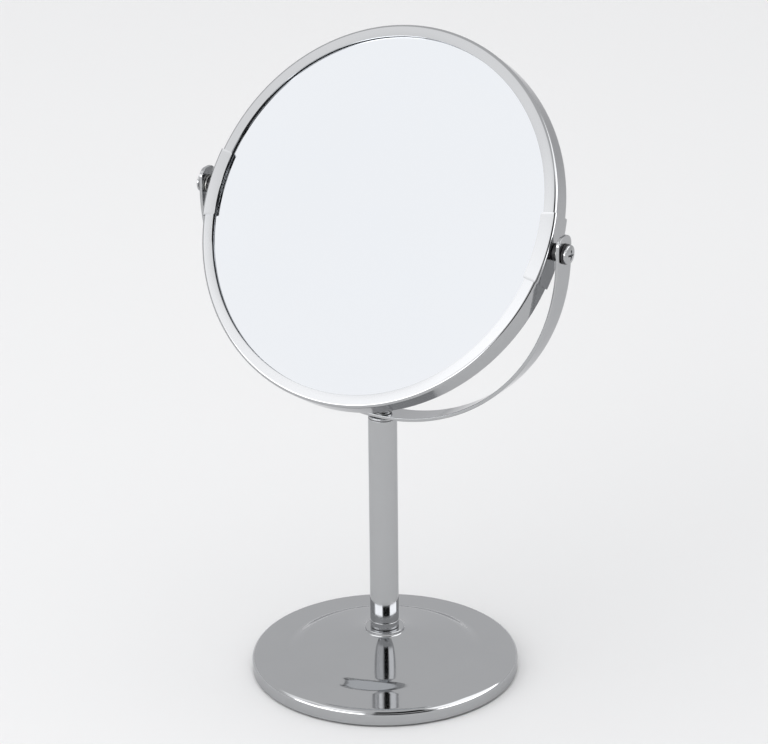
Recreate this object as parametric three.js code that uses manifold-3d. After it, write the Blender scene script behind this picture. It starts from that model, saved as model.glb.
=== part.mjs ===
// Round countertop mirror on a weighted pedestal.
//
// A double-sided mirror head (plain glass in front, magnifying glass behind) hangs between the
// two arms of a bent strip yoke and turns about a horizontal axis. The yoke is screwed to the top
// of a tube stem, and the stem is bolted down through a pressed base shell and a cast weight.
//
// Frame: millimetres, +Z up, origin at the centre of the underside of the base, the plain glass
// faces -Y, and the tilt axis runs along X. Depths inside the head are measured from its middle
// plane and are positive towards the plain glass.

import * as THREE from 'three';
import { mergeVertices } from 'three/addons/utils/BufferGeometryUtils.js';
import Module from 'manifold-3d';

const wasm = await Module();
wasm.setup();

// ---------------------------------------------------------------- driving dimensions

const FACE_GAP = 0.15;            // free play left between pieces that touch

const BASE_RADIUS = 64.2;
const BASE_RIM_BOTTOM = 0.8;      // the shell's rim stands this far off the table, on the pad
const BASE_TOP = 8.6;             // height of the shoulder
const BASE_SHOULDER = 3.2;        // radius of the rounded shoulder
const BASE_SHEET = 0.8;           // thickness of the pressed sheet
const BOSS_RADIUS = 9.4;          // flat seat for the stem, on top of the cone
const BOSS_TOP = 21.8;
const BOSS_EDGE = 0.4;
const BOSS_WALL = 1.9;            // height of the boss's round wall above the cone

// The plate rises gently from its shoulder, steps up to a crown, and climbs as a hollow cone to the boss.
// Control points of the step and of the cone, as [radius, height above the shoulder].
const STEP = [[48.5, 0.8], [45.5, 1], [43, 3.1], [39.5, 4.1]];
const CONE = [[39.5, 4.1], [31, 5.9], [16.3, 8.1], [BOSS_RADIUS + 0.1, BOSS_TOP - BASE_TOP - BOSS_WALL]];
const STEP_FACETS = 4;
const CONE_FACETS = 5;

const PAD_RADIUS = 61.8;
const PAD_THICKNESS = 2;
const WEIGHT_RADIUS = 60;
const WEIGHT_THICKNESS = 5;
const WEIGHT_HUB = { radius: 7.5, neck: 9.5, neckRise: 5, root: 16.5, coneRise: 8 };
const BOLT_POCKET_RADIUS = 9;
const BOLT_POCKET_DEPTH = 5.2;

const STEM_RADIUS = 6.9;
const STEM_WALL = 1;
const COLLAR_HEIGHT = 3.7;        // visible ring of the plug below the tube
const CAP_HEIGHT = 1.2;           // visible rim of the plug above the tube
const PLUG_LENGTH = 13;

const BASE_BOLT = { shank: 3, across: 10, height: 3.5, length: 32 };
const BASE_BOLT_HEAD_BOTTOM = 2.8;
const BASE_BOLT_HOLE = 3.3;       // hole radius for the base bolt
const BASE_WASHER = { outer: 8, thickness: 0.8 };

const PIVOT_HEIGHT = 230.6;
const TILT_AT_REST = 32.7;        // degrees, leaning back

const YOKE_RADIUS = 97;           // outer face of the bent strip
const YOKE_DROP = 1.1;            // centre of the bend below the tilt axis
const YOKE_STRIP = 1.7;
const YOKE_WIDTH = 11.8;
const YOKE_TIP = 8.4;             // height of the arm tips above the tilt axis
const YOKE_TIP_CORNER = 4.6;

const HOOP_RADIUS = 91.2;
const HOOP_WIDTH = 12.8;
const HOOP_SHEET = 0.8;
const HOOP_CORNER = 1.5;
const LIP_INNER = 85.4;           // free opening of the hoop's lips
const HOOP_JOINT = 0.3;           // slit between the two half hoops

const CLIP_SHEET = 0.5;
const CLIP_LIP_INNER = 84.5;
const CLIP_HALF_LENGTH = 16.6;
const CLIP_CORNER = 1.4;

const GLASS_RADIUS = 87.8;
const GLASS_THICKNESS = 2.2;
const GASKET_INNER = 85.7;
const GASKET_THICKNESS = 0.5;
const MAGNIFIER_CURVE = 1300;     // radius of curvature of the magnifying glass
const BACKING_RADIUS = 87.2;

const SCREW = { shank: 2, head: 4.5, height: 2, side: 1.1, recess: 1.4 };
const SCREW_SLOT = { length: 5.6, width: 1.2 };
const YOKE_SCREW_LENGTH = 13;
const LOCK_WASHER = { outer: 3.9, bore: 2.2, thickness: 0.8 };
const PIVOT_NUT = { across: 7, height: 2, bore: 2.1 };
const PIVOT_NUT_FACE = 90.2;      // outer face of the nut, just inside the hoop
const PIVOT_SPACER = { outer: 4, bore: 2.15, from: 92.05, to: 94 };
const PIVOT_WASHER = { outer: 4.4, bore: 2.2, from: 94.15, to: 95.15 };
const PIVOT_BUSH = { outer: 4.7, bore: 2.15, from: 97.15, to: 98.15 };

const CLEARANCE_HOLE = 2.3;       // hole radius for a 4 mm screw
const ROUND = 48;                 // facets of a large turned piece
const HOOP_FACETS = 72;           // facets of the whole hoop
const STEM_FACETS = 36;           // facets of the stem and its plugs
const SMALL_ROUND = 20;           // facets of a fastener

// ---------------------------------------------------------------- materials

function metal(color, roughness) {
  return new THREE.MeshStandardMaterial({ color, roughness, metalness: 1 });
}

function matt(color, roughness) {
  return new THREE.MeshStandardMaterial({ color, roughness, metalness: 0 });
}

const chrome = () => metal(0xb4b6ba, 0.06);
const zinc = () => metal(0x9a9ca0, 0.35);
const silvered = () => metal(0xe8eef6, 0.02);
const castIron = () => matt(0x3c3d40, 0.75);
const blackFoam = () => matt(0x1b1b1d, 0.9);
const blackPlastic = () => matt(0x202124, 0.45);
const greyBoard = () => matt(0x8d8a83, 0.9);

// ---------------------------------------------------------------- solid helpers

// Joins vertices that share a place, so that the triangles form one closed skin.
function weld(geometry) {
  const bare = geometry.index ? geometry.toNonIndexed() : geometry.clone();
  bare.deleteAttribute('normal');
  bare.deleteAttribute('uv');
  return mergeVertices(bare, 1e-4);
}

function toManifold(geometry) {
  const welded = weld(geometry);
  const mesh = new wasm.Mesh({
    numProp: 3,
    vertProperties: Float32Array.from(welded.attributes.position.array),
    triVerts: Uint32Array.from(welded.index.array),
  });
  return new wasm.Manifold(mesh);
}

function fromManifold(solid) {
  const mesh = solid.getMesh();
  const geometry = new THREE.BufferGeometry();
  geometry.setAttribute('position', new THREE.BufferAttribute(mesh.vertProperties, 3));
  geometry.setIndex(new THREE.BufferAttribute(mesh.triVerts, 1));
  return geometry;
}

function cut(geometry, ...tools) {
  let solid = toManifold(geometry);
  for (const tool of tools) solid = solid.subtract(toManifold(tool));
  return fromManifold(solid);
}

function common(a, b) {
  return fromManifold(toManifold(a).intersect(toManifold(b)));
}

function join(a, b) {
  return fromManifold(toManifold(a).add(toManifold(b)));
}

// Points of an arc about (cx, cy), both ends included, angles in degrees.
function arc(cx, cy, radius, from, to, steps) {
  return Array.from({ length: steps + 1 }, (_, i) => {
    const angle = THREE.MathUtils.degToRad(from + ((to - from) * i) / steps);
    return [cx + radius * Math.cos(angle), cy + radius * Math.sin(angle)];
  });
}

// Turns a closed outline of [radius, height] points about +Z.
function turned(outline, facets = ROUND) {
  const points = [...outline, outline[0]].map(([r, z]) => new THREE.Vector2(Math.max(r, 0), z));
  const geometry = new THREE.LatheGeometry(points, facets);
  geometry.rotateX(Math.PI / 2);
  return geometry;
}

function ring(outer, inner, bottom, top, facets = SMALL_ROUND) {
  return turned([[inner, bottom], [outer, bottom], [outer, top], [inner, top]], facets);
}

function disc(radius, bottom, top, facets = SMALL_ROUND) {
  return turned([[0, bottom], [radius, bottom], [radius, top], [0, top]], facets);
}

// Six-sided prism along +Z with a round bore, or solid when bore is 0.
function hexagon(across, bottom, top, bore) {
  const corners = Array.from({ length: 6 }, (_, i) => {
    const angle = (i * Math.PI) / 3;
    const reach = across / 2 / Math.cos(Math.PI / 6);
    return new THREE.Vector2(reach * Math.cos(angle), reach * Math.sin(angle));
  });
  const shape = new THREE.Shape(corners);
  if (bore > 0) shape.holes.push(new THREE.Path().absarc(0, 0, bore, 0, Math.PI * 2, true));
  const geometry = new THREE.ExtrudeGeometry(shape, {
    depth: top - bottom,
    bevelEnabled: false,
    curveSegments: SMALL_ROUND / 2,
  });
  geometry.translate(0, 0, bottom);
  return geometry;
}

// A piece drawn along +Z, laid along +X or -X so that its heights become distances from the axis.
function laidAlongX(geometry, side) {
  return geometry.rotateY((side * Math.PI) / 2);
}

// A piece drawn about +Z, laid so that its heights become depths of the head.
function laidInHead(geometry) {
  return geometry.rotateX(Math.PI / 2);
}

function box(width, depth, height, x, y, z) {
  return new THREE.BoxGeometry(width, depth, height).translate(x, y, z);
}

// ---------------------------------------------------------------- base

// Upper side of the base shell, from the rim's lower edge to the stem's seat.
function baseOutline() {
  const [step, cone] = [STEP, CONE].map((points) => new THREE.CubicBezierCurve(
    ...points.map(([radius, rise]) => new THREE.Vector2(radius, BASE_TOP + rise)),
  ));
  const crown = [...step.getPoints(STEP_FACETS), ...cone.getPoints(CONE_FACETS).slice(1)];
  return [
    [BASE_RADIUS, BASE_RIM_BOTTOM],
    ...arc(BASE_RADIUS - BASE_SHOULDER, BASE_TOP - BASE_SHOULDER, BASE_SHOULDER, 0, 90, 3),
    ...crown.map((p) => [p.x, p.y]),
    ...arc(BOSS_RADIUS - BOSS_EDGE, BOSS_TOP - BOSS_EDGE, BOSS_EDGE, 0, 90, 2),
  ];
}

// Every second point of the outline, moved inwards by the thickness of the sheet.
function insideOutline(outline, thickness) {
  const moved = outline.map(([r, z], i) => {
    const [r0, z0] = outline[Math.max(i - 1, 0)];
    const [r1, z1] = outline[Math.min(i + 1, outline.length - 1)];
    const length = Math.hypot(r1 - r0, z1 - z0);
    return [r - (thickness * (z1 - z0)) / length, z + (thickness * (r1 - r0)) / length];
  });
  return moved.filter((_, i) => i % 2 === 1);
}

function baseShell() {
  const outside = baseOutline();
  const inside = insideOutline(outside, BASE_SHEET).filter(([, z]) => z < BOSS_TOP - BASE_SHEET);
  return turned([
    ...outside,
    [BASE_BOLT_HOLE, BOSS_TOP],
    [BASE_BOLT_HOLE, BOSS_TOP - BASE_SHEET],
    [BOSS_RADIUS - BASE_SHEET, BOSS_TOP - BASE_SHEET],
    ...inside.reverse(),
    [BASE_RADIUS - BASE_SHEET, BASE_RIM_BOTTOM],
  ]);
}

function baseWeight() {
  const bottom = PAD_THICKNESS + FACE_GAP;
  const top = bottom + WEIGHT_THICKNESS;
  const hubTop = BOSS_TOP - BASE_SHEET - FACE_GAP;
  return turned([
    [BOLT_POCKET_RADIUS, bottom],
    [WEIGHT_RADIUS, bottom],
    [WEIGHT_RADIUS, top],
    [WEIGHT_HUB.root, top],
    [WEIGHT_HUB.neck, top + WEIGHT_HUB.neckRise],
    [WEIGHT_HUB.radius, top + WEIGHT_HUB.coneRise],
    [WEIGHT_HUB.radius, hubTop],
    [BASE_BOLT_HOLE, hubTop],
    [BASE_BOLT_HOLE, bottom + BOLT_POCKET_DEPTH],
    [BOLT_POCKET_RADIUS, bottom + BOLT_POCKET_DEPTH],
  ]);
}

function basePad() {
  return disc(PAD_RADIUS, 0, PAD_THICKNESS, ROUND);
}

function baseBolt() {
  const headTop = BASE_BOLT_HEAD_BOTTOM + BASE_BOLT.height;
  const head = hexagon(BASE_BOLT.across, BASE_BOLT_HEAD_BOTTOM, headTop, 0);
  const shank = disc(BASE_BOLT.shank, headTop - 1, headTop + BASE_BOLT.length);
  return join(head, shank);
}

function baseWasher() {
  const bottom = BASE_BOLT_HEAD_BOTTOM + BASE_BOLT.height + 0.1;
  return ring(BASE_WASHER.outer, BASE_BOLT_HOLE, bottom, bottom + BASE_WASHER.thickness);
}

// ---------------------------------------------------------------- stem

const STEM_BORE = STEM_RADIUS - STEM_WALL;
const COLLAR_BOTTOM = BOSS_TOP + 0.1;
const TUBE_BOTTOM = COLLAR_BOTTOM + COLLAR_HEIGHT + FACE_GAP;
const YOKE_BOTTOM = PIVOT_HEIGHT - YOKE_DROP - YOKE_RADIUS;
const STEM_TOP = YOKE_BOTTOM - 0.1;
const TUBE_TOP = STEM_TOP - CAP_HEIGHT - FACE_GAP;

// A pressed-in plug drawn with its visible rim below z = 0 and its body above it.
function plug(rimHeight, bore, edge) {
  const body = STEM_BORE - FACE_GAP;
  return [
    ...arc(STEM_RADIUS - edge, -rimHeight + edge, edge, -90, 0, 2),
    [STEM_RADIUS, 0],
    [body, 0],
    [body, PLUG_LENGTH],
    [bore, PLUG_LENGTH],
    [bore, -rimHeight],
  ];
}

function stemTube() {
  return ring(STEM_RADIUS, STEM_BORE, TUBE_BOTTOM, TUBE_TOP, STEM_FACETS);
}

function stemBottomPlug() {
  const outline = plug(COLLAR_HEIGHT, BASE_BOLT.shank + 0.1, 0.5);
  return turned(outline, STEM_FACETS).translate(0, 0, COLLAR_BOTTOM + COLLAR_HEIGHT);
}

function stemTopPlug() {
  const outline = plug(CAP_HEIGHT, SCREW.shank + 0.1, 0.6);
  return turned(outline, STEM_FACETS).rotateX(Math.PI).translate(0, 0, STEM_TOP - CAP_HEIGHT);
}

// ---------------------------------------------------------------- yoke

// Half ring with straight arm ends, seen from the front, in the plane of the yoke.
function yokeStrip() {
  const inner = YOKE_RADIUS - YOKE_STRIP;
  const shape = new THREE.Shape();
  shape.moveTo(-YOKE_RADIUS, YOKE_TIP);
  shape.absarc(0, -YOKE_DROP, YOKE_RADIUS, Math.PI, 2 * Math.PI, false);
  shape.lineTo(YOKE_RADIUS, YOKE_TIP);
  shape.lineTo(inner, YOKE_TIP);
  shape.absarc(0, -YOKE_DROP, inner, 2 * Math.PI, Math.PI, true);
  shape.lineTo(-inner, YOKE_TIP);
  const geometry = new THREE.ExtrudeGeometry(shape, {
    depth: YOKE_WIDTH,
    bevelEnabled: false,
    curveSegments: 36,
  });
  return geometry.translate(0, 0, -YOKE_WIDTH / 2).rotateX(Math.PI / 2);
}

// The yoke seen from the side: a tall plate whose upper corners are rounded.
function yokeSideOutline() {
  const half = YOKE_WIDTH / 2;
  const turn = YOKE_TIP_CORNER;
  const shape = new THREE.Shape();
  shape.moveTo(-half, -YOKE_RADIUS - YOKE_WIDTH);
  shape.lineTo(half, -YOKE_RADIUS - YOKE_WIDTH);
  shape.absarc(half - turn, YOKE_TIP - turn, turn, 0, Math.PI / 2, false);
  shape.absarc(turn - half, YOKE_TIP - turn, turn, Math.PI / 2, Math.PI, false);
  const length = 2 * YOKE_RADIUS + YOKE_WIDTH;
  const geometry = new THREE.ExtrudeGeometry(shape, {
    depth: length,
    bevelEnabled: false,
    curveSegments: 4,
  });
  return geometry.translate(0, 0, -length / 2).rotateX(Math.PI / 2).rotateZ(Math.PI / 2);
}

function yoke() {
  const reach = YOKE_RADIUS + YOKE_WIDTH;
  const pivotHoles = laidAlongX(disc(CLEARANCE_HOLE, -reach, reach), 1);
  const screwHole = disc(CLEARANCE_HOLE, -reach, -YOKE_RADIUS / 2);
  const blank = common(yokeStrip(), yokeSideOutline());
  return cut(blank, pivotHoles, screwHole).translate(0, 0, PIVOT_HEIGHT);
}

// ---------------------------------------------------------------- fasteners

// A pan-head screw with a cross recess: the head's underside is at height 0, its shank below.
function panScrew(length) {
  const rise = SCREW.height - SCREW.side;
  const domeRadius = (SCREW.head ** 2 + rise ** 2) / (2 * rise);
  const domeStart = THREE.MathUtils.radToDeg(Math.acos(SCREW.head / domeRadius));
  const dome = arc(0, SCREW.height - domeRadius, domeRadius, domeStart, 90, 5);
  const body = turned([
    [0, -length],
    [SCREW.shank - 0.4, -length],
    [SCREW.shank, -length + 0.4],
    [SCREW.shank, 0],
    [SCREW.head, 0],
    ...dome,
  ], SMALL_ROUND);
  const { length: slotLength, width: slotWidth } = SCREW_SLOT;
  const slot = box(slotLength, slotWidth, 2 * SCREW.recess, 0, 0, SCREW.height);
  return cut(body, slot, slot.clone().rotateZ(Math.PI / 2));
}

const YOKE_INNER_BOTTOM = YOKE_BOTTOM + YOKE_STRIP;

const LOCK_WASHER_TOP = YOKE_INNER_BOTTOM + FACE_GAP + LOCK_WASHER.thickness;

function yokeScrew() {
  return panScrew(YOKE_SCREW_LENGTH).translate(0, 0, LOCK_WASHER_TOP + FACE_GAP);
}

function yokeLockWasher() {
  const { outer, bore, thickness } = LOCK_WASHER;
  return ring(outer, bore, LOCK_WASHER_TOP - thickness, LOCK_WASHER_TOP);
}

// ---------------------------------------------------------------- head

// U channel that holds the glass: a band with two lips turned inwards.
function channelOutline(outer, width, sheet, corner, lipInner) {
  const half = width / 2;
  const bend = corner - sheet;
  return [
    [lipInner, half - sheet],
    [lipInner, half],
    ...arc(outer - corner, half - corner, corner, 90, 0, 3),
    ...arc(outer - corner, corner - half, corner, 0, -90, 3),
    [lipInner, -half],
    [lipInner, sheet - half],
    ...arc(outer - corner, corner - half, bend, -90, 0, 2),
    ...arc(outer - corner, half - corner, bend, 0, 90, 2),
  ].reverse();
}

// Drill for the hole on one side of the hoop.
function pivotBore(side) {
  const drill = disc(CLEARANCE_HOLE, HOOP_RADIUS - HOOP_WIDTH, HOOP_RADIUS + HOOP_WIDTH);
  return laidAlongX(drill, side);
}

// Half of the hoop; side is 1 for the upper half and -1 for the lower.
function halfHoop(side) {
  const outline = channelOutline(HOOP_RADIUS, HOOP_WIDTH, HOOP_SHEET, HOOP_CORNER, LIP_INNER);
  const whole = laidInHead(turned(outline, HOOP_FACETS));
  const reach = HOOP_RADIUS + HOOP_WIDTH;
  const keep = box(2 * reach, 2 * HOOP_WIDTH, reach, 0, 0, (side * (reach + HOOP_JOINT)) / 2);
  return cut(common(whole, keep), pivotBore(-1), pivotBore(1));
}

// Short channel that wraps the hoop at a pivot and covers the joint of its halves.
function clip(side) {
  const outer = HOOP_RADIUS + FACE_GAP + CLIP_SHEET;
  const width = HOOP_WIDTH + 2 * (FACE_GAP + CLIP_SHEET);
  const outline = channelOutline(outer, width, CLIP_SHEET, CLIP_CORNER, CLIP_LIP_INNER);
  const whole = laidInHead(turned(outline, 2 * HOOP_FACETS));
  const keep = box(HOOP_RADIUS, 2 * width, 2 * CLIP_HALF_LENGTH, side * HOOP_RADIUS, 0, 0);
  return cut(common(whole, keep), pivotBore(side));
}

const LIP_FACE = HOOP_WIDTH / 2 - HOOP_SHEET;
const GASKET_FACE = LIP_FACE - FACE_GAP;
const GLASS_FACE = GASKET_FACE - GASKET_THICKNESS - FACE_GAP;

// Depth of the magnifying glass's hollow at a distance from its centre.
function hollowAt(radius) {
  return (GLASS_RADIUS ** 2 - radius ** 2) / (2 * MAGNIFIER_CURVE);
}

// Points across the magnifying glass at a depth of the rim, from the centre outwards.
function dishedLine(rimDepth, radius, steps) {
  return Array.from({ length: steps + 1 }, (_, i) => {
    const r = (radius * i) / steps;
    return [r, rimDepth + hollowAt(r)];
  });
}

// Depths are heights here; laidInHead turns +Z towards -Y, which is the front.
function frontGlass() {
  return laidInHead(disc(GLASS_RADIUS, GLASS_FACE - GLASS_THICKNESS, GLASS_FACE, ROUND));
}

function rearGlass() {
  const outside = dishedLine(-GLASS_FACE, GLASS_RADIUS, 4);
  const inside = dishedLine(GLASS_THICKNESS - GLASS_FACE, GLASS_RADIUS, 4);
  return laidInHead(turned([...outside, ...inside.reverse()], ROUND));
}

function backingDisc() {
  const front = GLASS_FACE - GLASS_THICKNESS - FACE_GAP;
  const rear = dishedLine(GLASS_THICKNESS - GLASS_FACE + FACE_GAP, BACKING_RADIUS, 3);
  return laidInHead(turned([...rear, [BACKING_RADIUS, front], [0, front]], ROUND));
}

// Soft ring between a glass and the hoop's lip; side is 1 at the front and -1 at the rear.
function gasket(side) {
  const near = side * GASKET_FACE;
  const far = side * (GASKET_FACE - GASKET_THICKNESS);
  const outline = ring(GLASS_RADIUS, GASKET_INNER, Math.min(near, far), Math.max(near, far), ROUND);
  return laidInHead(outline);
}

// Pieces of one pivot, drawn on the tilt axis.
const PIVOT_SCREW_SEAT = PIVOT_BUSH.to + FACE_GAP;
const PIVOT_SCREW_LENGTH = PIVOT_SCREW_SEAT - PIVOT_NUT_FACE + PIVOT_NUT.height;

function pivotScrew(side) {
  return laidAlongX(panScrew(PIVOT_SCREW_LENGTH).translate(0, 0, PIVOT_SCREW_SEAT), side);
}

function pivotNut(side) {
  const bottom = PIVOT_NUT_FACE - PIVOT_NUT.height;
  return laidAlongX(hexagon(PIVOT_NUT.across, bottom, PIVOT_NUT_FACE, PIVOT_NUT.bore), side);
}

function pivotSpacer(side) {
  const { outer, bore, from, to } = PIVOT_SPACER;
  return laidAlongX(ring(outer, bore, from, to), side);
}

function pivotWasher(side) {
  const { outer, bore, from, to } = PIVOT_WASHER;
  return laidAlongX(ring(outer, bore, from, to), side);
}

// Plastic washer between the yoke and the screw's head.
function pivotBush(side) {
  const { outer, bore, from, to } = PIVOT_BUSH;
  return laidAlongX(ring(outer, bore, from, to), side);
}

// ---------------------------------------------------------------- assembly

const countertopMirror = new THREE.Group();
const axisGroup = new THREE.Group();      // the tilt axis, standing still
const headGroup = new THREE.Group();      // the head, leaning back about the tilt axis
axisGroup.position.z = PIVOT_HEIGHT;
headGroup.position.z = PIVOT_HEIGHT;
headGroup.rotation.x = -THREE.MathUtils.degToRad(TILT_AT_REST);
countertopMirror.add(axisGroup, headGroup);

function place(parent, name, geometry, material) {
  const mesh = new THREE.Mesh(weld(geometry), material);
  mesh.name = name;
  parent.add(mesh);
}

place(countertopMirror, 'base_shell', baseShell(), chrome());
place(countertopMirror, 'base_weight', baseWeight(), castIron());
place(countertopMirror, 'base_pad', basePad(), blackFoam());
place(countertopMirror, 'base_bolt', baseBolt(), zinc());
place(countertopMirror, 'base_washer', baseWasher(), zinc());
place(countertopMirror, 'stem_bottom_plug', stemBottomPlug(), chrome());
place(countertopMirror, 'stem_tube', stemTube(), chrome());
place(countertopMirror, 'stem_top_plug', stemTopPlug(), chrome());
place(countertopMirror, 'yoke', yoke(), chrome());
place(countertopMirror, 'yoke_lock_washer', yokeLockWasher(), zinc());
place(countertopMirror, 'yoke_screw', yokeScrew(), chrome());

place(headGroup, 'hoop_upper', halfHoop(1), chrome());
place(headGroup, 'hoop_lower', halfHoop(-1), chrome());
place(headGroup, 'front_gasket', gasket(1), blackFoam());
place(headGroup, 'rear_gasket', gasket(-1), blackFoam());
place(headGroup, 'front_glass', frontGlass(), silvered());
place(headGroup, 'rear_glass', rearGlass(), silvered());
place(headGroup, 'backing_disc', backingDisc(), greyBoard());

for (const [label, side] of [['left', -1], ['right', 1]]) {
  place(axisGroup, `pivot_washer_${label}`, pivotWasher(side), zinc());
  place(headGroup, `clip_${label}`, clip(side), chrome());
  place(headGroup, `pivot_spacer_${label}`, pivotSpacer(side), blackPlastic());
  place(headGroup, `pivot_bush_${label}`, pivotBush(side), blackPlastic());
  place(headGroup, `pivot_screw_${label}`, pivotScrew(side), chrome());
  place(headGroup, `pivot_nut_${label}`, pivotNut(side), zinc());
}

export default countertopMirror;
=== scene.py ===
"""Looks of a round countertop mirror: two glasses in a chromed hoop, a strip yoke, a stem and a base.

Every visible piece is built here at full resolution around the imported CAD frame, in metres.
Dimensions below are in millimetres, as on a drawing, and are scaled once by MM.
"""

import math

import bmesh
import bpy
from mathutils import Matrix, Vector


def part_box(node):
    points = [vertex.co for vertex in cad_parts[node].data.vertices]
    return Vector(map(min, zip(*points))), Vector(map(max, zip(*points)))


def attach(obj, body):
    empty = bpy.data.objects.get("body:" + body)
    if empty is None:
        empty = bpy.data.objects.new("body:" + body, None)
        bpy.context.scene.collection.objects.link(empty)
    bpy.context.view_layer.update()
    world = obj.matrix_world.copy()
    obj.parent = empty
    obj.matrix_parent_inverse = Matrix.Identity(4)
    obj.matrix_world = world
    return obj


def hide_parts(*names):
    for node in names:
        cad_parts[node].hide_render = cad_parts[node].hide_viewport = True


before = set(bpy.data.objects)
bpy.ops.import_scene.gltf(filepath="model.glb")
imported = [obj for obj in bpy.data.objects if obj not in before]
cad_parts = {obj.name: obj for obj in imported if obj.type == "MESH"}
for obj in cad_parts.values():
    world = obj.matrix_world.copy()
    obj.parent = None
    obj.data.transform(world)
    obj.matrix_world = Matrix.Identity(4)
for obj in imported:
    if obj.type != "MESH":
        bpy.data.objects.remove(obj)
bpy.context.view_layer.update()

MM = 0.001


def box_mm(node):
    """Lowest and highest corner of a CAD node, in millimetres."""
    low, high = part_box(node)
    return low / MM, high / MM


# ---------------------------------------------------------------- sizes taken from the frame

PIVOT_HEIGHT = sum(corner.z for corner in box_mm("pivot_washer_right")) / 2
BASE_RADIUS = box_mm("base_shell")[1].x
BASE_RIM_BOTTOM, BOSS_TOP = (corner.z for corner in box_mm("base_shell"))
PAD_RADIUS = box_mm("base_pad")[1].x
PAD_THICKNESS = box_mm("base_pad")[1].z
STEM_RADIUS = box_mm("stem_tube")[1].x
TUBE_BOTTOM, TUBE_TOP = (corner.z for corner in box_mm("stem_tube"))
COLLAR_BOTTOM, PLUG_TOP = (corner.z for corner in box_mm("stem_bottom_plug"))
CAP_PLUG_BOTTOM, STEM_TOP = (corner.z for corner in box_mm("stem_top_plug"))
YOKE_RADIUS = box_mm("yoke")[1].x
YOKE_WIDTH = 2 * box_mm("yoke")[1].y
YOKE_BOTTOM, YOKE_TIP_HEIGHT = (corner.z for corner in box_mm("yoke"))
WASHER_FROM, WASHER_TO = (corner.x for corner in box_mm("pivot_washer_right"))
SPACER_FROM, SPACER_TO = (corner.x for corner in box_mm("pivot_spacer_right"))
BUSH_FROM, BUSH_TO = (corner.x for corner in box_mm("pivot_bush_right"))
LOCK_WASHER_BOTTOM, LOCK_WASHER_TOP = (corner.z for corner in box_mm("yoke_lock_washer"))

# ---------------------------------------------------------------- sizes of the sections

TILT = 32.7                     # degrees, the head leans back
BASE_TOP = 8.6
BASE_SHOULDER = 3.2
BASE_SHEET = 0.8
BOSS_RADIUS = 9.4
BOSS_EDGE = 0.3

# The plate's upper side, as (radius, height above the shoulder).
OUTER_RING = (56, 0.32)         # a point of the gentle rise from the shoulder to the step
STEP = [(48.5, 0.8), (45.5, 1.0), (43, 3.1), (39.5, 4.1)]
CONE = [(39.5, 4.1), (31, 5.9), (16.3, 8.1), (9.5, 11.3)]
BOSS_FOOT = [(10.2, 10.97), (9.8, 11.16), (9.45, 11.3), (9.4, 11.9)]

BOLT_HOLE = 3.3
PLUG_BORE = 3.1                 # hole for the base bolt in the lower plug
CAP_BORE = 2.1                  # hole for the yoke screw in the upper plug
STEM_WALL = 1.0
FIT = 0.15
YOKE_STRIP = 1.7
YOKE_TIP_CORNER = 4.6
HOOP = {"outer": 91.2, "width": 12.8, "sheet": 0.8, "corner": 1.5, "lip": 85.4}
CLIP = {"outer": 91.85, "width": 14.1, "sheet": 0.5, "corner": 1.4, "lip": 84.5}
LIP_SLOPE = (3.5, 5.5)          # degrees, at a lip's inner edge and at its corner
CLIP_HALF_LENGTH = 16.6
HOOP_SLIT = 0.3
GLASS_RADIUS = 87.8
GLASS_FACE = 4.8
GLASS_THICKNESS = 2.2
GLASS_SEAM = 0.3                # ground bevel round both edges
GLASS_STEPS = 40                # rings of facets from the middle to the bevel
MAGNIFIER_CURVE = 1300.0
# foam ring just under the lips; its black inner edge partly stands in for painted shade in the gap
# between lip and glass
GASKET = {"outer": 87.8, "inner": 85.7, "from": 4.95, "to": 5.36}
SCREW = {"shank": 2.0, "head": 4.5, "height": 1.98, "side": 1.1, "rim": 0.35, "recess": 1.4}
PIVOT_SCREW_SEAT = 98.3
PIVOT_SCREW_LENGTH = 10.1
YOKE_SCREW_LENGTH = 13.0
SMALL_HOLE = 2.3                # screw holes in yoke, hoop and clips
PIVOT_SPACER = {"hole": 2.15, "outer": 4.0}
PIVOT_BUSH = {"hole": 2.15, "outer": 4.7}
PIVOT_WASHER = {"hole": 2.2, "outer": 4.4}
LOCK_WASHER = {"hole": 2.2, "outer": 3.9, "split": 6}   # split in degrees

ROUND = 192                     # facets of a large turned piece
BASE_ROUND = 256
STEM_ROUND = 128
SMALL_ROUND = 64                # facets of a fastener
SHARP = math.radians(32)        # edges steeper than this are shaded as creases


# ---------------------------------------------------------------- outlines

def rounded(corners, steps=5):
    """Closed outline through corners given as (x, y, fillet radius)."""
    points = []
    for i, (x, y, radius) in enumerate(corners):
        corner = Vector((x, y))
        if radius <= 0:
            points.append((x, y))
            continue
        to_last = (Vector(corners[i - 1][:2]) - corner).normalized()
        to_next = (Vector(corners[(i + 1) % len(corners)][:2]) - corner).normalized()
        half = to_last.angle(to_next) / 2
        centre = corner + (to_last + to_next).normalized() * (radius / math.sin(half))
        start = corner + to_last * (radius / math.tan(half)) - centre
        end = corner + to_next * (radius / math.tan(half)) - centre
        turn = start.angle(end)
        for k in range(steps + 1):
            t = k / steps
            spoke = start * math.sin((1 - t) * turn) + end * math.sin(t * turn)
            points.append(tuple(centre + spoke / math.sin(turn)))
    return points


def bezier(controls, steps):
    """Points of a cubic curve."""
    a, b, c, d = (Vector(p) for p in controls)
    points = []
    for k in range(steps + 1):
        t = k / steps
        u = 1 - t
        points.append(tuple(a * u ** 3 + b * (3 * u * u * t) + c * (3 * u * t * t) + d * t ** 3))
    return points


def arc(cx, cy, radius, start, end, steps):
    """Points of an arc, angles in degrees."""
    angles = [math.radians(start + (end - start) * k / steps) for k in range(steps + 1)]
    return [(cx + radius * math.cos(a), cy + radius * math.sin(a)) for a in angles]


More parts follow.
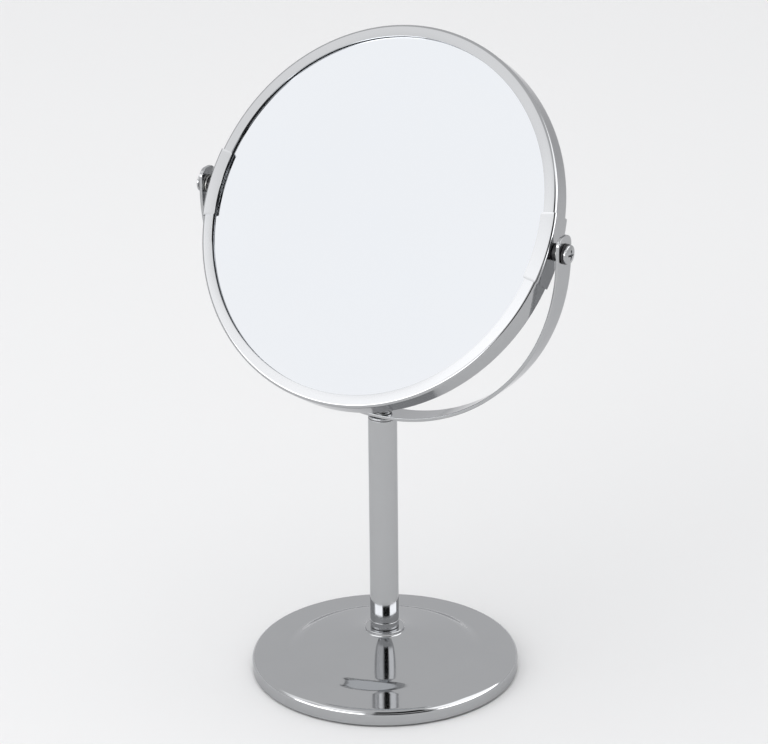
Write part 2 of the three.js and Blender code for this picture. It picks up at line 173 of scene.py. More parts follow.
def offset(outline, distance):
    """Open outline moved to its left-hand side."""
    moved = []
    for i, (x, y) in enumerate(outline):
        x0, y0 = outline[max(i - 1, 0)]
        x1, y1 = outline[min(i + 1, len(outline) - 1)]
        length = math.hypot(x1 - x0, y1 - y0)
        moved.append((x - distance * (y1 - y0) / length, y + distance * (x1 - x0) / length))
    return moved


# ---------------------------------------------------------------- solids

def to_mesh(bm, name):
    """Closed bmesh in millimetres to a smooth mesh in metres with creases at its real edges."""
    bmesh.ops.recalc_face_normals(bm, faces=bm.faces)
    bm.transform(Matrix.Scale(MM, 4))
    mesh = bpy.data.meshes.new(name)
    bm.to_mesh(mesh)
    bm.free()
    crease(mesh)
    return mesh


def crease(mesh):
    mesh.polygons.foreach_set("use_smooth", [True] * len(mesh.polygons))
    mesh.set_sharp_from_angle(angle=SHARP)


def turned(outline, place=Matrix(), segments=ROUND, start=0.0, end=360.0):
    """Turns a closed outline of (radius, height) points about +Z.

    The outline may be a function of the angle in degrees.
    """
    bm = bmesh.new()
    whole = end - start >= 360
    poles = {}
    rings = []
    for k in range(segments if whole else segments + 1):
        degrees = start + (end - start) * k / segments
        angle = math.radians(degrees)
        points = outline(degrees) if callable(outline) else outline
        ring = []
        for i, (r, z) in enumerate(points):
            if r < 1e-6:
                if i not in poles:
                    poles[i] = bm.verts.new((0, 0, z))
                ring.append(poles[i])
            else:
                ring.append(bm.verts.new((r * math.cos(angle), r * math.sin(angle), z)))
        rings.append(ring)
    pairs = list(zip(rings, rings[1:] + (rings[:1] if whole else [])))
    for here, after in pairs:
        for i in range(len(here)):
            j = (i + 1) % len(here)
            corners = list(dict.fromkeys([here[i], after[i], after[j], here[j]]))
            if len(corners) > 2:
                bm.faces.new(corners)
    if not whole:
        bm.faces.new(rings[0])
        bm.faces.new(rings[-1])
    bm.transform(place)
    return bm


def swept(sections, place=Matrix()):
    """Solid through a row of closed sections, each a list of the same number of points."""
    bm = bmesh.new()
    rings = [[bm.verts.new(p) for p in section] for section in sections]
    for here, after in zip(rings, rings[1:]):
        for i in range(len(here)):
            j = (i + 1) % len(here)
            bm.faces.new([here[i], after[i], after[j], here[j]])
    bm.faces.new(rings[0])
    bm.faces.new(rings[-1])
    bm.transform(place)
    return bm


def linked(mesh, name):
    obj = bpy.data.objects.new(name, mesh)
    bpy.context.scene.collection.objects.link(obj)
    return obj


def carved(mesh, *cutters):
    """The mesh with each cutter taken away from it."""
    obj = linked(mesh, "blank")
    tools = [linked(to_mesh(cutter, "cutter"), "cutter") for cutter in cutters]
    for tool in tools:
        modifier = obj.modifiers.new("cut", "BOOLEAN")
        modifier.operation = "DIFFERENCE"
        modifier.solver = "EXACT"
        modifier.object = tool
    bpy.context.view_layer.update()
    shaped = bpy.data.meshes.new_from_object(obj.evaluated_get(bpy.context.evaluated_depsgraph_get()))
    for spare in [obj, *tools]:
        bpy.data.objects.remove(spare)
    crease(shaped)
    return shaped


def weighted(mesh, name):
    """The mesh with normals led by its large faces, so that flats stay flat beside their fillets."""
    obj = linked(mesh, "raw")
    modifier = obj.modifiers.new("normals", "WEIGHTED_NORMAL")
    modifier.keep_sharp = True
    bpy.context.view_layer.update()
    graph = bpy.context.evaluated_depsgraph_get()
    shaped = bpy.data.meshes.new_from_object(
        obj.evaluated_get(graph), preserve_all_data_layers=True, depsgraph=graph)
    bpy.data.objects.remove(obj)
    shaped.name = name
    return shaped


def piece(name, mesh, material, body, slot, *nodes):
    """Puts a finished mesh into the scene in the place of CAD nodes."""
    obj = linked(weighted(mesh, name), name)
    obj.data.materials.clear()
    obj.data.materials.append(material)
    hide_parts(*nodes)
    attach(obj, body)
    return obj


def solid_piece(bm, material, body, slot, node):
    """Piece made of one bmesh, in the place of one CAD node."""
    name = f"{node}_look"
    return piece(name, to_mesh(bm, name), material, body, slot, node)


AXIS = Matrix.Translation((0, 0, PIVOT_HEIGHT))
HEAD = AXIS @ Matrix.Rotation(math.radians(-TILT), 4, "X")
FACE_OUT = HEAD @ Matrix.Rotation(math.radians(90), 4, "X")   # heights become depths of the head


def along_x(side):
    """Lays a piece drawn along +Z along +X or -X."""
    return Matrix.Rotation(math.radians(90 * side), 4, "Y")


# ---------------------------------------------------------------- materials

class Look:
    """A Principled material under construction, with short calls for its nodes."""

    def __init__(self, name, color, roughness, metallic=0.0):
        self.material = bpy.data.materials.new(name)
        self.material.use_nodes = True
        self.nodes = self.material.node_tree.nodes
        self.links = self.material.node_tree.links
        self.shader = self.nodes["Principled BSDF"]
        self.shader.inputs["Base Color"].default_value = (*color, 1)
        self.shader.inputs["Roughness"].default_value = roughness
        self.shader.inputs["Metallic"].default_value = metallic
        self.place = self.nodes.new("ShaderNodeTexCoord").outputs["Object"]
        self.normal = None

    def stretched(self, scale):
        mapping = self.nodes.new("ShaderNodeMapping")
        mapping.inputs["Scale"].default_value = scale
        self.links.new(self.place, mapping.inputs["Vector"])
        return mapping.outputs["Vector"]

    def noise(self, scale, detail=3.0, rough=0.5, stretch=None, distortion=0.0):
        node = self.nodes.new("ShaderNodeTexNoise")
        node.inputs["Scale"].default_value = scale
        node.inputs["Detail"].default_value = detail
        node.inputs["Roughness"].default_value = rough
        node.inputs["Distortion"].default_value = distortion
        self.links.new(self.stretched(stretch) if stretch else self.place, node.inputs["Vector"])
        return node.outputs["Fac"]

    def cells(self, scale, feature="F1"):
        node = self.nodes.new("ShaderNodeTexVoronoi")
        node.feature = feature
        node.inputs["Scale"].default_value = scale
        self.links.new(self.place, node.inputs["Vector"])
        return node.outputs["Distance"]

    def spread(self, value, low, high, to_low, to_high):
        """Maps low..high of a texture to to_low..to_high, clamped."""
        node = self.nodes.new("ShaderNodeMapRange")
        settings = (low, high, to_low, to_high)
        for key, number in zip(("From Min", "From Max", "To Min", "To Max"), settings):
            node.inputs[key].default_value = number
        self.links.new(value, node.inputs["Value"])
        return node.outputs["Result"]

    def combine(self, operation, a, b):
        node = self.nodes.new("ShaderNodeMath")
        node.operation = operation
        self.links.new(a, node.inputs[0])
        self.links.new(b, node.inputs[1])
        return node.outputs[0]

    def tint(self, value, *stops):
        """Base colour from a texture value through a colour ramp of (position, colour) stops."""
        ramp = self.nodes.new("ShaderNodeValToRGB")
        elements = ramp.color_ramp.elements
        while len(elements) < len(stops):
            elements.new(0.5)
        for element, (position, color) in zip(elements, stops):
            element.position = position
            element.color = (*color, 1)
        self.links.new(value, ramp.inputs["Fac"])
        self.links.new(ramp.outputs["Color"], self.shader.inputs["Base Color"])
        return self

    def gloss(self, value):
        self.links.new(value, self.shader.inputs["Roughness"])
        return self

    def bump(self, value, strength, distance):
        node = self.nodes.new("ShaderNodeBump")
        node.inputs["Strength"].default_value = strength
        node.inputs["Distance"].default_value = distance
        self.links.new(value, node.inputs["Height"])
        if self.normal:
            self.links.new(self.normal, node.inputs["Normal"])
        self.normal = node.outputs["Normal"]
        self.links.new(self.normal, self.shader.inputs["Normal"])
        return self

    def pointiness_for_painted_shade(self):
        # Pointiness, used to paint shade into recesses.
        node = self.nodes.new("ShaderNodeNewGeometry")
        return node.outputs["Pointiness"]


CHROME = (0.462, 0.468, 0.476)
GRAZING_TINT = (0.84, 0.84, 0.85)   # keeps the plate from turning white where it is seen edge-on


def chrome(name, haze=(0.035, 0.085), peel=0.02, hairline=(1, 1, 1)):
    """Bright chrome plate: haze and hairlines in its gloss, a soft orange peel, random clouds in its
    colour, and painted shade darkening its recesses.
    """
    look = Look(name, CHROME, 0.05, metallic=1.0)
    look.shader.inputs["Specular Tint"].default_value = (*GRAZING_TINT, 1)
    patches = look.noise(38, detail=4, rough=0.6)
    lines = look.noise(600, detail=2, stretch=hairline)
    haze_patches = look.spread(patches, 0.3, 0.7, 0.6, 1)
    haze_lines = look.spread(lines, 0.3, 0.7, 0.75, 1)
    mottled = look.combine("MULTIPLY", haze_patches, haze_lines)
    look.gloss(look.spread(mottled, 0.45, 1, *haze))
    clouds = look.spread(patches, 0.2, 0.8, 0.9, 1)
    # Painted shade: the colour darkens where pointiness is low, in recesses and creases.
    painted_recess_shade = look.spread(look.pointiness_for_painted_shade(), 0.42, 0.5, 0.75, 1)
    clouds_and_painted_shade = look.combine("MULTIPLY", clouds, painted_recess_shade)
    # Darker end of the ramp, reached through the random clouds and through the painted recess shade.
    dull_and_shaded = tuple(0.86 * c for c in CHROME)
    look.tint(clouds_and_painted_shade, (0.6, dull_and_shaded), (1.0, CHROME))
    look.bump(look.noise(95, detail=2), peel, 0.0002)
    return look.material


def zinc(name):
    """Zinc-plated steel: satin, slightly blue and yellow passivation clouds, tool marks."""
    look = Look(name, (0.42, 0.43, 0.44), 0.3, metallic=1.0)
    clouds = look.noise(260, detail=5, rough=0.65)
    look.tint(clouds, (0.3, (0.33, 0.34, 0.36)), (0.55, (0.44, 0.44, 0.43)), (0.8, (0.5, 0.49, 0.44)))
    look.gloss(look.spread(look.noise(1500, detail=3, stretch=(1, 1, 6)), 0.3, 0.7, 0.22, 0.42))
    look.bump(look.noise(2400, detail=2), 0.15, 0.00005)
    return look.material


def mirror_glass(name, tint):
    """Silvered glass: a clean reflection with the faintest wiping haze, under a clear coat."""
    look = Look(name, tint, 0.01, metallic=1.0)
    look.shader.inputs["Coat Weight"].default_value = 0.15
    look.shader.inputs["Coat Roughness"].default_value = 0.01
    wipes = look.noise(14, detail=5, rough=0.6, stretch=(1, 1, 2.5), distortion=0.6)
    look.gloss(look.spread(wipes, 0.35, 0.75, 0.004, 0.03))
    paler = tuple(min(1.0, 1.015 * c) for c in tint)
    look.tint(look.noise(6, detail=2), (0.3, tint), (0.7, paler))
    return look.material


def foam(name):
    """Black closed-cell foam."""
    look = Look(name, (0.012, 0.012, 0.013), 0.9)
    pores = look.cells(1400)
    look.tint(look.noise(180, detail=4), (0.3, (0.008, 0.008, 0.009)), (0.75, (0.022, 0.022, 0.024)))
    look.gloss(look.spread(pores, 0.0, 0.8, 0.95, 0.75))
    look.bump(pores, 0.5, 0.0002)
    return look.material


def nylon(name):
    """Black moulded nylon."""
    look = Look(name, (0.015, 0.015, 0.017), 0.4)
    grain = look.noise(3000, detail=3)
    look.tint(look.noise(300, detail=3), (0.3, (0.011, 0.011, 0.013)), (0.7, (0.02, 0.02, 0.022)))
    look.gloss(look.spread(grain, 0.3, 0.7, 0.32, 0.5))
    look.bump(grain, 0.1, 0.00005)
    return look.material


def cast_iron(name):
    """Rough casting with a thin dark wash and rust in its hollows."""
    look = Look(name, (0.05, 0.048, 0.046), 0.75)
    sand = look.noise(900, detail=6, rough=0.7)
    wash = look.noise(70, detail=5, rough=0.65)
    look.tint(wash, (0.3, (0.035, 0.034, 0.034)), (0.6, (0.06, 0.056, 0.052)), (0.85, (0.12, 0.06, 0.03)))
    look.gloss(look.spread(sand, 0.3, 0.7, 0.6, 0.9))
    look.bump(sand, 0.6, 0.0004)
    return look.material


def board(name):
    """Grey recycled cardboard."""
    look = Look(name, (0.28, 0.27, 0.25), 0.9)
    fibres = look.noise(420, detail=5, rough=0.7, stretch=(1, 3, 1))
    look.tint(fibres, (0.25, (0.19, 0.185, 0.17)), (0.6, (0.29, 0.28, 0.26)), (0.85, (0.38, 0.37, 0.34)))
    look.gloss(look.spread(fibres, 0.3, 0.7, 0.82, 0.95))
    look.bump(fibres, 0.3, 0.0001)
    return look.material


CHROME_BASE = chrome("chrome_base", haze=(0.045, 0.1), peel=0.03)
CHROME_STEM = chrome("chrome_stem", haze=(0.05, 0.1), peel=0.015, hairline=(1, 1, 0.05))
CHROME_STRIP = chrome("chrome_strip", haze=(0.06, 0.13), peel=0.03)
CHROME_HOOP = chrome("chrome_hoop", haze=(0.06, 0.12), peel=0.03)
CHROME_SCREW = chrome("chrome_screw", haze=(0.05, 0.12), peel=0.05)
ZINC = zinc("zinc_steel")
SILVERED = mirror_glass("silvered_glass", (0.9, 0.925, 0.955))
FOAM = foam("black_foam")
NYLON = nylon("black_nylon")
IRON = cast_iron("cast_iron")
BOARD = board("grey_board")

# ---------------------------------------------------------------- base

def base_shell():
    cone = [point for point in bezier(CONE, 36)[1:] if point[0] > BOSS_FOOT[0][0] + 0.1]
    curves = bezier(STEP, 24) + cone + bezier(BOSS_FOOT, 8)[:-1]
    crown = [(r, BASE_TOP + rise) for r, rise in [OUTER_RING, *curves]]
    shoulder = arc(BASE_RADIUS - BASE_SHOULDER, BASE_TOP - BASE_SHOULDER, BASE_SHOULDER, 0, 90, 14)
    boss = arc(BOSS_RADIUS - BOSS_EDGE, BOSS_TOP - BOSS_EDGE, BOSS_EDGE, 0, 90, 8)
    rim = [(BASE_RADIUS, BASE_RIM_BOTTOM + 0.3), (BASE_RADIUS, BASE_RIM_BOTTOM + 3)]
    outside = rim + shoulder + crown + boss
    inside = [p for p in offset(outside, BASE_SHEET) if p[1] < BOSS_TOP - BASE_SHEET][1:]
    outline = [(BASE_RADIUS - 0.3, BASE_RIM_BOTTOM)] + outside + [
        (BOLT_HOLE, BOSS_TOP),
        (BOLT_HOLE, BOSS_TOP - BASE_SHEET),
        (BOSS_RADIUS - BASE_SHEET, BOSS_TOP - BASE_SHEET),
    ] + inside[::-3] + [(BASE_RADIUS - BASE_SHEET, BASE_RIM_BOTTOM)]
    return turned(outline, segments=BASE_ROUND)


solid_piece(base_shell(), CHROME_BASE, "stand", "chrome_plate", "base_shell")

pad_outline = rounded([
    (0, 0, 0),
    (PAD_RADIUS, 0, 0.6),
    (PAD_RADIUS, PAD_THICKNESS, 0.3),
    (0, PAD_THICKNESS, 0),
])
solid_piece(turned(pad_outline), FOAM, "stand", "foam", "base_pad")

# ---------------------------------------------------------------- stem

BORE = STEM_RADIUS - STEM_WALL
tube_outline = rounded([
    (BORE, TUBE_BOTTOM, 0.1),
    (STEM_RADIUS, TUBE_BOTTOM, 0.3),
    (STEM_RADIUS, TUBE_TOP, 0.3),
    (BORE, TUBE_TOP, 0.1),
])
solid_piece(turned(tube_outline, segments=STEM_ROUND), CHROME_STEM, "stand", "chrome_plate", "stem_tube")

COLLAR_TOP = TUBE_BOTTOM - FIT
collar_outline = rounded([
    (PLUG_BORE, COLLAR_BOTTOM, 0.3),
    (STEM_RADIUS, COLLAR_BOTTOM, 0.45),
    (STEM_RADIUS, COLLAR_TOP, 0.3),
    (BORE - FIT, COLLAR_TOP, 0),
    (BORE - FIT, PLUG_TOP, 0.6),
    (PLUG_BORE, PLUG_TOP, 0.3),
])
collar = turned(collar_outline, segments=STEM_ROUND)
solid_piece(collar, CHROME_STEM, "stand", "chrome_plate", "stem_bottom_plug")

CAP_BOTTOM = TUBE_TOP + FIT
cap_outline = rounded([
    (CAP_BORE, CAP_PLUG_BOTTOM, 0.3),
    (BORE - FIT, CAP_PLUG_BOTTOM, 0.6),
    (BORE - FIT, CAP_BOTTOM, 0),
    (STEM_RADIUS, CAP_BOTTOM, 0.3),
    (STEM_RADIUS, STEM_TOP, 0.6),
    (CAP_BORE, STEM_TOP, 0.3),
])
cap = turned(cap_outline, segments=STEM_ROUND)
solid_piece(cap, CHROME_STEM, "stand", "chrome_plate", "stem_top_plug")

# ---------------------------------------------------------------- yoke

YOKE_CENTRE = YOKE_BOTTOM + YOKE_RADIUS
YOKE_EDGE = 0.38                # rounding along the strip's edges
YOKE_STEPS = 180                # stations round its bend


def yoke_stations():
    """Distances along half the strip from its tip, close together at the rounded tip."""
    tip = [YOKE_TIP_CORNER * (1 - math.cos(math.radians(90 * k / 14))) for k in range(15)]
    edge = [YOKE_EDGE * (1 - math.cos(math.radians(90 * k / 4))) for k in range(1, 5)]
    straight = YOKE_TIP_HEIGHT - YOKE_CENTRE
    return sorted(set(tip + edge + [straight]))


def yoke_section(centre, outward, half_width, half_thickness):
    """Rounded rectangle across the strip."""
    radius = min(YOKE_EDGE, 0.98 * half_thickness)
    corners = [(-1, -1), (1, -1), (1, 1), (-1, 1)]
    outline = rounded([(a * half_width, b * half_thickness, radius) for a, b in corners], 4)
    return [centre + Vector((0, 1, 0)) * across + outward * up for across, up in outline]


def yoke_strip():
    middle = YOKE_RADIUS - YOKE_STRIP / 2
    half = YOKE_WIDTH / 2
    tips = []
    for s in yoke_stations():
        short = max(YOKE_TIP_CORNER - s, 0)
        width = half - YOKE_TIP_CORNER + math.sqrt(YOKE_TIP_CORNER ** 2 - short ** 2)
        thin = max(YOKE_EDGE - s, 0)
        thickness = YOKE_STRIP / 2 - YOKE_EDGE + math.sqrt(YOKE_EDGE ** 2 - thin ** 2)
        tips.append((s, width, thickness))
    sections = []
    for s, width, thickness in tips:
        centre = Vector((middle, 0, YOKE_TIP_HEIGHT - s))
        sections.append(yoke_section(centre, Vector((1, 0, 0)), width, thickness))
    for k in range(1, YOKE_STEPS):
        angle = math.pi * k / YOKE_STEPS
        outward = Vector((math.cos(angle), 0, -math.sin(angle)))
        centre = Vector((0, 0, YOKE_CENTRE)) + outward * middle
        sections.append(yoke_section(centre, outward, half, YOKE_STRIP / 2))
    for s, width, thickness in reversed(tips):
        centre = Vector((-middle, 0, YOKE_TIP_HEIGHT - s))
        sections.append(yoke_section(centre, Vector((-1, 0, 0)), width, thickness))
    return swept(sections)


def drill(radius, low, high, place):
    return turned([(0, low), (radius, low), (radius, high), (0, high)], place, SMALL_ROUND)


yoke_mesh = carved(
    to_mesh(yoke_strip(), "yoke_look"),
    drill(SMALL_HOLE, -110, 110, AXIS @ along_x(1)),
    drill(SMALL_HOLE, YOKE_BOTTOM - 5, YOKE_BOTTOM + 5, Matrix()),
)
piece("yoke_look", yoke_mesh, CHROME_STRIP, "stand", "chrome_plate", "yoke")

# ---------------------------------------------------------------- screws and washers

RECESS_ROOT = (1.7, 0.42)       # half length and half width of a bar of the cross, at its floor
RECESS_MOUTH = (2.9, 0.64)      # the same above the crown


def cross_recess():
    """Cutters for a cross recess: two tapered bars with rounded ends."""
    bars = []
    for turn in (0, 90):
        sections = []
        for (reach, half), height in ((RECESS_ROOT, -SCREW["recess"]), (RECESS_MOUTH, 0.3)):
            corners = [(-reach, -half), (reach, -half), (reach, half), (-reach, half)]
            outline = rounded([(x, y, 0.8 * half) for x, y in corners], 3)
            sections.append([(x, y, SCREW["height"] + height) for x, y in outline])
        bars.append(swept(sections, Matrix.Rotation(math.radians(turn), 4, "Z")))
    return bars


def pan_screw(length, place):
    """Pan-head screw: its head's underside is at height 0."""
    shank, head, height, side, rim = (SCREW[key] for key in ("shank", "head", "height", "side", "rim"))
    rise = height - side
    ball = (head ** 2 + rise ** 2) / (2 * rise)
    climb = math.sqrt((ball - rim) ** 2 - (head - rim) ** 2)
    meet = math.degrees(math.atan2(climb, head - rim))
    outline = [
        (0, -length),
        (shank - 0.4, -length),
        (shank, 0.4 - length),
        (shank, 0),
        (head - 0.25, 0),
        (head, 0.25),
        *arc(head - rim, height - ball + climb, rim, 0, meet, 6),
        *arc(0, height - ball, ball, meet, 90, 16)[1:],
    ]
    body = to_mesh(turned(outline, segments=SMALL_ROUND), "screw")
    screw = carved(body, *cross_recess())
    screw.transform(Matrix.Scale(MM, 4) @ place @ Matrix.Scale(1 / MM, 4))
    return screw


YOKE_SCREW_TURN = 20            # degrees, how far the cross happens to be turned
PIVOT_SCREW_TURN = 28


def spun(degrees):
    """Turns a screw about its own axis."""
    return Matrix.Rotation(math.radians(degrees), 4, "Z")


yoke_screw_seat = Matrix.Translation((0, 0, LOCK_WASHER_TOP + FIT))
yoke_screw = pan_screw(YOKE_SCREW_LENGTH, yoke_screw_seat @ spun(YOKE_SCREW_TURN))
piece("yoke_screw_look", yoke_screw, CHROME_SCREW, "stand", "chrome_plate", "yoke_screw")

lock_outline = rounded([
    (LOCK_WASHER["hole"], LOCK_WASHER_BOTTOM, 0.1),
    (LOCK_WASHER["outer"], LOCK_WASHER_BOTTOM, 0.1),
    (LOCK_WASHER["outer"], LOCK_WASHER_TOP, 0.1),
    (LOCK_WASHER["hole"], LOCK_WASHER_TOP, 0.1),
], 3)
lock_washer = turned(lock_outline, segments=60, start=40, end=400 - LOCK_WASHER["split"])
solid_piece(lock_washer, ZINC, "stand", "zinc_steel", "yoke_lock_washer")

# ---------------------------------------------------------------- head

def channel(outer, width, sheet, corner, lip):
    """U channel with its two lips turned inwards, as (radius, depth) points of a closed outline.

    The lips fall away slightly from their inner edge to the corner.
    """
    half = width / 2
    inner_slope, outer_slope = (math.radians(slope) for slope in LIP_SLOPE)
    bend = outer - corner
    reach = bend + corner * math.sin(outer_slope) - lip
    crown = reach / (math.sin(outer_slope) - math.sin(inner_slope))
    fall = crown * (math.cos(inner_slope) - math.cos(outer_slope))
    level = half - fall - corner * math.cos(outer_slope)
    lip_centre = (lip - crown * math.sin(inner_slope), half - crown * math.cos(inner_slope))
    face = [
        (lip, half - sheet + 0.15),
        (lip, half - 0.08),
        (lip + 0.06, half - 0.005),
        *arc(*lip_centre, crown, 90 - LIP_SLOPE[0] - 0.05, 90 - LIP_SLOPE[1], 6),
        *arc(bend, level, corner, 90 - LIP_SLOPE[1], 0, 7)[1:],
    ]
    fold = max(corner - sheet, 0.1)
    inside = [
        *arc(outer - sheet - fold, level + corner - sheet - fold, fold, 0, 80, 3),
        (lip + 0.15, half - sheet),
    ]
    mirrored = [(r, -depth) for r, depth in reversed(face)]
    return face + mirrored + [(r, -depth) for r, depth in reversed(inside)] + inside


def pivot_drills():
    return [drill(SMALL_HOLE, 80, 100, HEAD @ along_x(side)) for side in (-1, 1)]


hoop_section = channel(*HOOP.values())
slit = math.degrees(HOOP_SLIT / 2 / HOOP["outer"])
for label, start in (("upper", 0), ("lower", 180)):
    half_hoop = turned(hoop_section, FACE_OUT, 200, start + slit, start + 180 - slit)
    name = f"hoop_{label}_look"
    bored = carved(to_mesh(half_hoop, name), *pivot_drills())
    piece(name, bored, CHROME_HOOP, "mirror_head", "chrome_plate", f"hoop_{label}")

clip_half_angle = math.degrees(math.asin(CLIP_HALF_LENGTH / CLIP["outer"]))


def clip_section(degrees):
    """The clip's channel; its lips are cut back a little at the ends, as rounded corners."""
    to_end = (clip_half_angle - abs((degrees + 90) % 180 - 90)) * math.radians(CLIP["outer"])
    cut_back = 0.7 * max(0.0, 1 - max(to_end, 0) / 0.9) ** 2
    return channel(CLIP["outer"], CLIP["width"], CLIP["sheet"], CLIP["corner"], CLIP["lip"] + cut_back)


for label, side, start in (("left", -1, 180 - clip_half_angle), ("right", 1, -clip_half_angle)):
    name = f"clip_{label}_look"
    wrap = turned(clip_section, FACE_OUT, 64, start, start + 2 * clip_half_angle)
    bored = carved(to_mesh(wrap, name), drill(SMALL_HOLE, 80, 100, HEAD @ along_x(side)))
    piece(name, bored, CHROME_HOOP, "mirror_head", "chrome_plate", f"clip_{label}")


def hollow(radius):
    """Depth of the magnifying glass's hollow at a distance from its centre."""
    return (GLASS_RADIUS ** 2 - radius ** 2) / (2 * MAGNIFIER_CURVE)


def glass_outline(dished):
    """Glass between its rim's two faces, with a ground seam round both edges."""
    far, near = GLASS_FACE - GLASS_THICKNESS, GLASS_FACE
    flat = GLASS_RADIUS - GLASS_SEAM
    radii = [flat * k / GLASS_STEPS for k in range(GLASS_STEPS + 1)]
    if dished:
        outer_face = [(r, -near + hollow(r)) for r in radii]
        inner_face = [(r, -far + hollow(r)) for r in radii]
        edge = [(GLASS_RADIUS, -near + GLASS_SEAM), (GLASS_RADIUS, -far - GLASS_SEAM)]
        return outer_face + edge + inner_face[::-1]
    edge = [(GLASS_RADIUS, far + GLASS_SEAM), (GLASS_RADIUS, near - GLASS_SEAM)]
    return [(r, far) for r in radii] + edge + [(r, near) for r in radii[::-1]]


for label, dished in (("front", False), ("rear", True)):
    glass = turned(glass_outline(dished), FACE_OUT)
    solid_piece(glass, SILVERED, "mirror_head", "mirror_glass", f"{label}_glass")

# Black foam gaskets just under the lips. They are a real part, and their black inner edge also stands in
# for the shade of the gap between lip and glass, as painted shade.
for label, side in (("front", 1), ("rear", -1)):
    corners = [("inner", "from"), ("outer", "from"), ("outer", "to"), ("inner", "to")]
    section = rounded([(GASKET[r], side * GASKET[z], 0.12) for r, z in corners], 3)
    solid_piece(turned(section, FACE_OUT), FOAM, "mirror_head", "foam", f"{label}_gasket")


def ring(size, low, high, place):
    """Washer between two distances from the head's middle."""
    inner, outer = size["hole"], size["outer"]
    section = rounded([(inner, low, 0.1), (outer, low, 0.2), (outer, high, 0.2), (inner, high, 0.1)], 4)
    return turned(section, place, SMALL_ROUND)


for label, side in (("left", -1), ("right", 1)):
    turning = HEAD @ along_x(side)
    standing = AXIS @ along_x(side)
    seat = turning @ Matrix.Translation((0, 0, PIVOT_SCREW_SEAT))
    screw = pan_screw(PIVOT_SCREW_LENGTH, seat @ spun(PIVOT_SCREW_TURN * side))
    name = f"pivot_screw_{label}"
    piece(f"{name}_look", screw, CHROME_SCREW, "mirror_head", "chrome_plate", name)
    spacer = ring(PIVOT_SPACER, SPACER_FROM, SPACER_TO, turning)
    solid_piece(spacer, NYLON, "mirror_head", "nylon", f"pivot_spacer_{label}")
    bush = ring(PIVOT_BUSH, BUSH_FROM, BUSH_TO, turning)
    solid_piece(bush, NYLON, "mirror_head", "nylon", f"pivot_bush_{label}")
    washer = ring(PIVOT_WASHER, WASHER_FROM, WASHER_TO, standing)
    solid_piece(washer, ZINC, "stand", "zinc_steel", f"pivot_washer_{label}")

# ---------------------------------------------------------------- inner CAD pieces that stay

INNER = {
    "base_weight": IRON,
    "base_bolt": ZINC,
    "base_washer": ZINC,
    "backing_disc": BOARD,
    "pivot_nut_left": ZINC,
    "pivot_nut_right": ZINC,
}
for node, material in INNER.items():
    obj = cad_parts[node]
    obj.data.materials.clear()
    obj.data.materials.append(material)

# ---------------------------------------------------------------- floor, light and camera

def emitter(name, radiance, feather):
    """Glowing sheet that fades out towards its edges."""
    material = bpy.data.materials.new(name)
    material.use_nodes = True
    nodes, links = material.node_tree.nodes, material.node_tree.links
    nodes.clear()
    sheet_place = nodes.new("ShaderNodeTexCoord").outputs["UV"]
    split = nodes.new("ShaderNodeSeparateXYZ")
    links.new(sheet_place, split.inputs[0])
    sides = []
    for output, soft in zip(split.outputs[:2], feather):
        away = nodes.new("ShaderNodeMath")
        away.operation = "PINGPONG"
        away.inputs[1].default_value = 0.5
        links.new(output, away.inputs[0])
        fade = nodes.new("ShaderNodeMapRange")
        fade.interpolation_type = "SMOOTHSTEP"
        fade.inputs["From Max"].default_value = max(soft, 1e-4)
        links.new(away.outputs[0], fade.inputs["Value"])
        sides.append(fade.outputs["Result"])
    cover = nodes.new("ShaderNodeMath")
    cover.operation = "MULTIPLY"
    links.new(sides[0], cover.inputs[0])
    links.new(sides[1], cover.inputs[1])
    clear = nodes.new("ShaderNodeBsdfTransparent")
    glow = nodes.new("ShaderNodeEmission")
    glow.inputs["Color"].default_value = (*radiance, 1)
    mix = nodes.new("ShaderNodeMixShader")
    links.new(cover.outputs[0], mix.inputs["Fac"])
    links.new(clear.outputs[0], mix.inputs[1])
    links.new(glow.outputs[0], mix.inputs[2])
    output = nodes.new("ShaderNodeOutputMaterial")
    links.new(mix.outputs[0], output.inputs["Surface"])
    return material


STUDIO_CENTRE = Vector((0, 0, 0.15))


def panel(name, azimuth, elevation, radiance, feather, distance, diffuse, glossy):
    """Sheet on a sphere round the object. Azimuth 0 is -Y and 90 is +X, in degrees."""
    bm = bmesh.new()
    uv = bm.loops.layers.uv.new("UVMap")
    steps = 12
    grid = []
    for i in range(steps + 1):
        row = []
        for j in range(steps + 1):
            a = math.radians(azimuth[0] + (azimuth[1] - azimuth[0]) * i / steps)
            e = math.radians(elevation[0] + (elevation[1] - elevation[0]) * j / steps)
            away = Vector((math.sin(a) * math.cos(e), -math.cos(a) * math.cos(e), math.sin(e)))
            row.append(bm.verts.new(STUDIO_CENTRE + away * distance))
        grid.append(row)
    for i in range(steps):
        for j in range(steps):
            places = [(i, j), (i + 1, j), (i + 1, j + 1), (i, j + 1)]
            face = bm.faces.new([grid[a][b] for a, b in places])
            for loop, (a, b) in zip(face.loops, places):
                loop[uv].uv = (a / steps, b / steps)
    mesh = bpy.data.meshes.new(name)
    bm.to_mesh(mesh)
    bm.free()
    obj = linked(mesh, name)
    obj.data.materials.append(emitter(name, radiance, feather))
    obj.visible_camera = False
    obj.visible_diffuse = diffuse
    obj.visible_glossy = glossy
    obj.visible_shadow = False


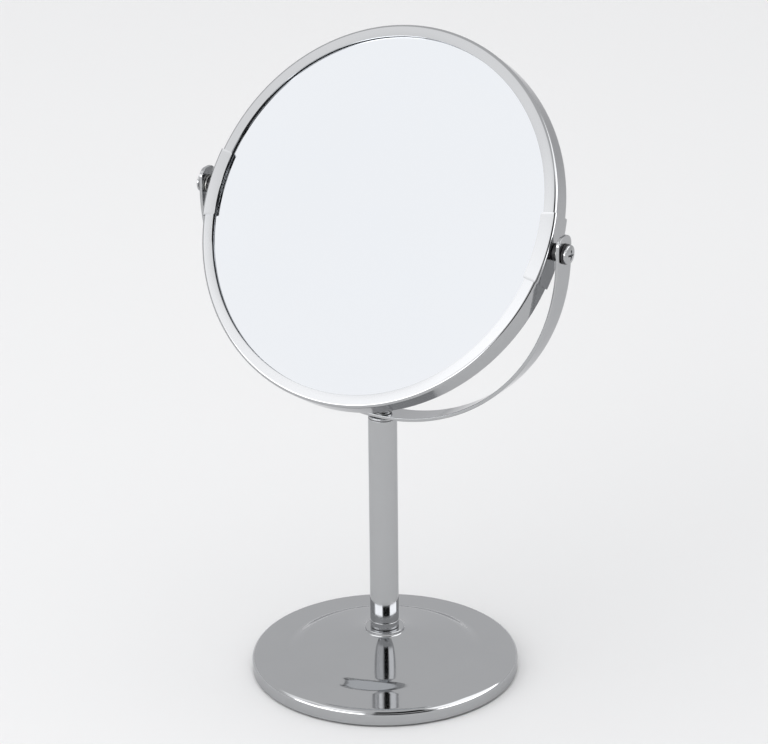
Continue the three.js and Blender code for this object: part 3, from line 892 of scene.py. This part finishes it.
# name, azimuth, elevation, radiance, feather, distance, seen by matt surfaces, seen by the chrome
PANELS = [
    ("overhead", (0, 360), (48, 88), 1.4, (0.0, 0.1), 3.1, True, False),
    ("softbox", (-78, 14), (22, 60), 1.38, (0.12, 0.12), 3.0, True, True),
    ("softbox_foot", (-66, -4), (6, 35), 1.8, (0.25, 0.35), 2.95, True, True),
    ("softbox_side", (-48, 18), (14, 52), 2.15, (0.35, 0.5), 2.93, True, True),
    ("window", (-51.5, -24), (25.5, 49), 0.94, (0.31, 0.32), 2.9, True, True),
    ("lamp_left", (-50, 16), (3, 21), 4.2, (0.06, 0.15), 2.8, False, True),
    ("lamp_right", (74, 142), (7, 22), 4.2, (0.06, 0.12), 2.8, False, True),
    ("lamp_right_high", (74, 142), (18, 57), 2.1, (0.06, 0.12), 2.85, False, True),
    ("wall", (-22, 94), (20.5, 30), 0.7, (0.08, 0.15), 2.75, False, True),
    ("flag_low", (19, 73), (3, 22), 0.01, (0.08, 0.12), 2.7, False, True),
    ("flag_high", (19, 73), (28.5, 57), 0.01, (0.08, 0.06), 2.7, False, True),
]
for name, azimuth, elevation, radiance, *rest in PANELS:
    panel(name, azimuth, elevation, (radiance, radiance, 1.01 * radiance), *rest)

world = bpy.data.worlds.new("studio")
world.use_nodes = True
background = world.node_tree.nodes["Background"]
background.inputs["Color"].default_value = (0.985, 0.99, 1.0, 1)
background.inputs["Strength"].default_value = 0.8
bpy.context.scene.world = world

FLOOR_RADIUS = 14
FLOOR_TONE = (0.79, 0.79, 0.79)


def lay_floor():
    bm = bmesh.new()
    bmesh.ops.create_circle(bm, cap_ends=True, segments=96, radius=FLOOR_RADIUS)
    mesh = bpy.data.meshes.new("floor")
    bm.to_mesh(mesh)
    bm.free()
    look = Look("floor", FLOOR_TONE, 0.9)
    look.shader.inputs["Specular IOR Level"].default_value = 0.0
    floor = linked(mesh, "floor")
    floor.data.materials.append(look.material)


lay_floor()

# Angles in degrees, lengths in metres, the lens in millimetres.
CAMERA = {
    "azimuth": 31.833,
    "look_down": 22.21,
    "stand_up": 23.498,         # angle of the camera's place above the aim point
    "roll": -0.6,
    "distance": 1.6827,
    "aim_height": 0.1128,
    "lens": 166.7,
    "shift": 0.0025,
}


def place_camera():
    a = math.radians(CAMERA["azimuth"])
    e = math.radians(CAMERA["look_down"])
    stand = math.radians(CAMERA["stand_up"])
    roll = math.radians(CAMERA["roll"])
    back = Vector((math.sin(a) * math.cos(e), -math.cos(a) * math.cos(e), math.sin(e)))
    level = Vector((math.cos(a), math.sin(a), 0))
    up = back.cross(level)
    right = level * math.cos(roll) + up * math.sin(roll)
    above = up * math.cos(roll) - level * math.sin(roll)
    away = Vector((math.sin(a) * math.cos(stand), -math.cos(a) * math.cos(stand), math.sin(stand)))
    data = bpy.data.cameras.new("camera")
    data.lens = CAMERA["lens"]
    data.sensor_width = 36
    data.shift_x = CAMERA["shift"]
    data.clip_end = 100
    camera = bpy.data.objects.new("camera", data)
    bpy.context.scene.collection.objects.link(camera)
    turn = Matrix((right, above, back)).transposed().to_4x4()
    place = away * CAMERA["distance"] + Vector((0, 0, CAMERA["aim_height"]))
    camera.matrix_world = Matrix.Translation(place) @ turn
    bpy.context.scene.camera = camera


place_camera()
bpy.context.scene.view_settings.view_transform = "Standard"
